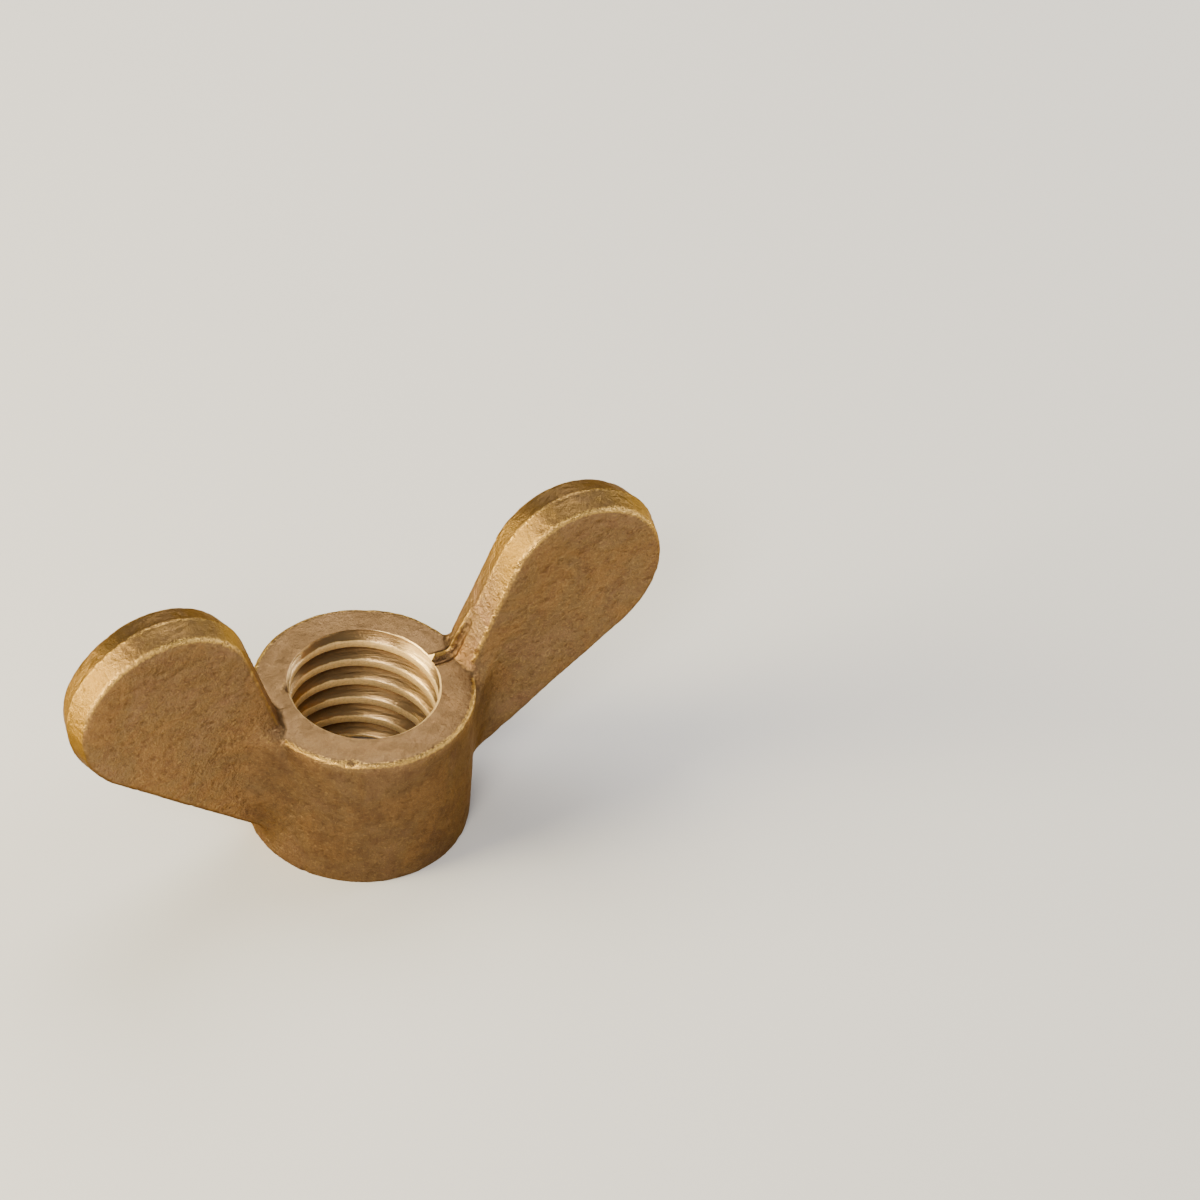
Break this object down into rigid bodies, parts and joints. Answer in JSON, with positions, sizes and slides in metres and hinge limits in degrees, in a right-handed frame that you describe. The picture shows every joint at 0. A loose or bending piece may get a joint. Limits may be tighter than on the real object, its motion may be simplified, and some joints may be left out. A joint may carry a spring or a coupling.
{
  "type": "wing nut",
  "caption": "Cast brass wing nut: slightly tapered hub with a threaded through bore, and two flat rounded wings rising from its sides.",
  "frame": {"origin": "centre of the bearing face under the hub, on the thread's axis", "axes": "+Z along the thread's axis from the bearing face towards the wing tips, X through both wings, Y through the wings' thickness"},
  "size_m": [0.0466, 0.0166, 0.0246],
  "materials": {
    "cast_brass": "satin, as cast and tumbled, brighter on the edges, the thread and the machined bearing face"
  },
  "bodies": {
    "root": {"hub": "cast_brass", "left_wing": "cast_brass", "right_wing": "cast_brass"}
  },
  "joints": []
}
